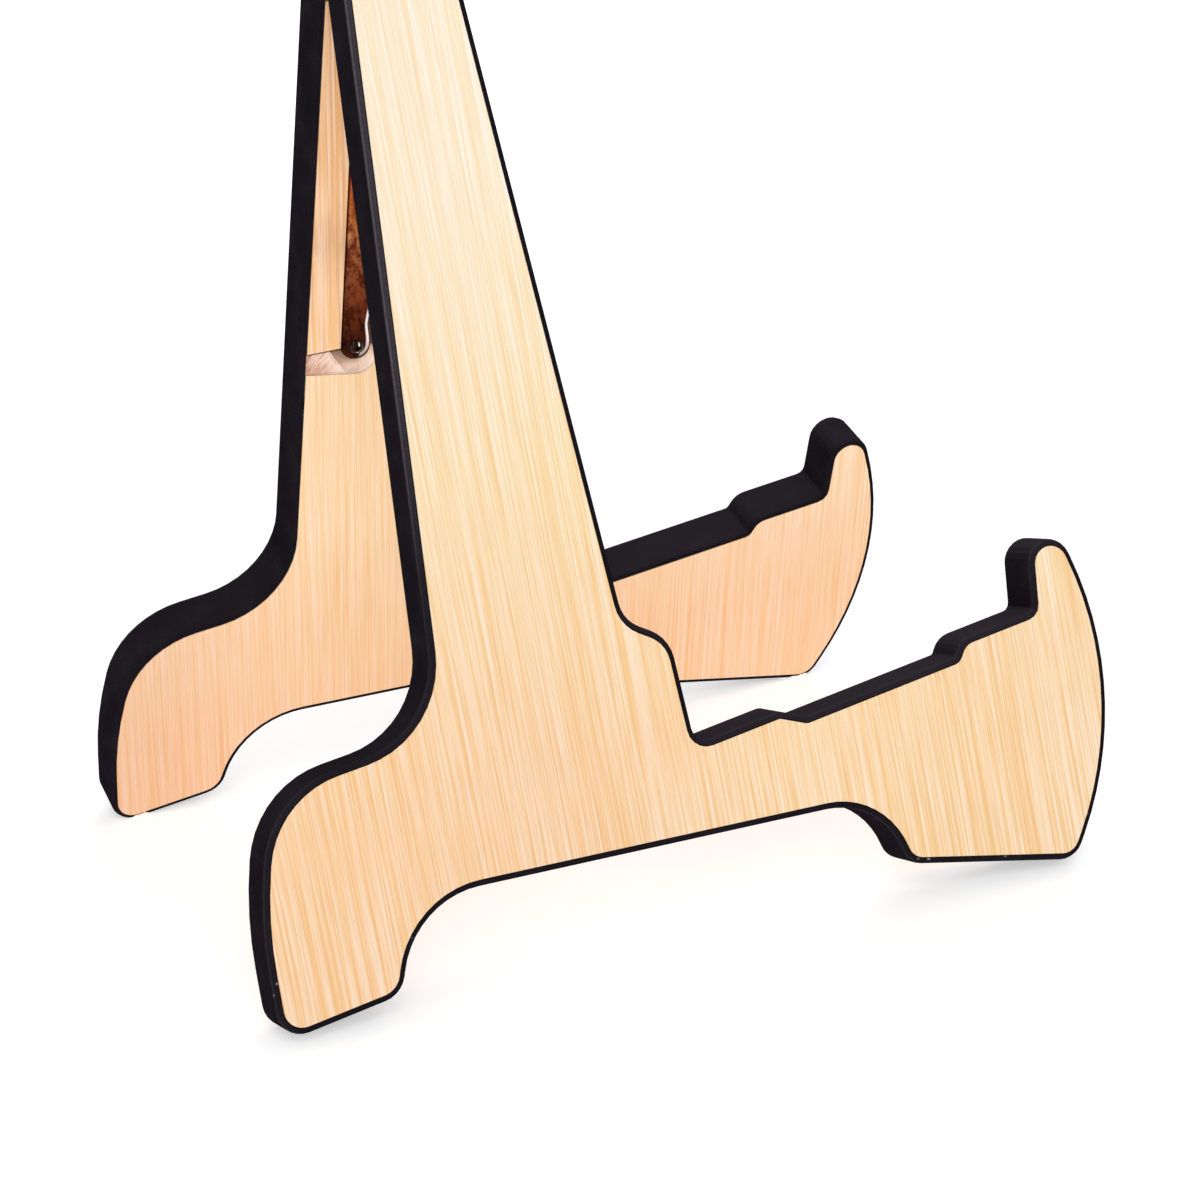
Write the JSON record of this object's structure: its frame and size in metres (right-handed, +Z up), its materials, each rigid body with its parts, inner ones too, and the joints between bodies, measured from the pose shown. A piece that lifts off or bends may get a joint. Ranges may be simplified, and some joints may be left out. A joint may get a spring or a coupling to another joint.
{
  "type": "folding guitar stand",
  "caption": "Folding guitar stand of two hinged side boards with stepped arms, upturned hooks and arched feet; pale wood faces, black edges, antique copper strap hinge.",
  "frame": {"origin": "centre of the bounding box's base, on the floor", "axes": "+Z up, -Y towards the front, where the hooks are, +X to the right seen from the front"},
  "size_m": [0.2088, 0.2884, 0.3064],
  "materials": {
    "black_board": "board with matte near-black painted edges",
    "pale_wood_face": "pale straight-grained wood face, satin lacquer",
    "antique_copper": "mottled antique copper, lacquered glossy",
    "dark_copper": "dark antique copper, glossy"
  },
  "bodies": {
    "right_side": {"right_board": "black_board", "right_outer_face": "pale_wood_face", "right_inner_face": "pale_wood_face", "right_face_strip": "pale_wood_face", "right_hinge_leaf": "antique_copper", "right_plate_screw_1": "dark_copper", "right_plate_screw_2": "dark_copper", "right_plate_screw_3": "dark_copper", "right_plate_screw_4": "dark_copper", "right_strap_screw": "dark_copper", "hinge_pin": "dark_copper", "hinge_pin_cap": "dark_copper"},
    "left_side": {"left_board": "black_board", "left_outer_face": "pale_wood_face", "left_inner_face": "pale_wood_face", "left_face_strip": "pale_wood_face", "left_hinge_leaf": "antique_copper", "left_plate_screw_1": "dark_copper", "left_plate_screw_2": "dark_copper", "left_plate_screw_3": "dark_copper", "left_plate_screw_4": "dark_copper", "left_strap_screw": "dark_copper"}
  },
  "joints": [
    {"name": "fold", "type": "hinge", "parent": "right_side", "child": "left_side", "pos_m": [0, 0.05636, 0.29048], "axis": [0, -0.9992, 0.0391], "range_deg": [0, 31.9]}
  ]
}
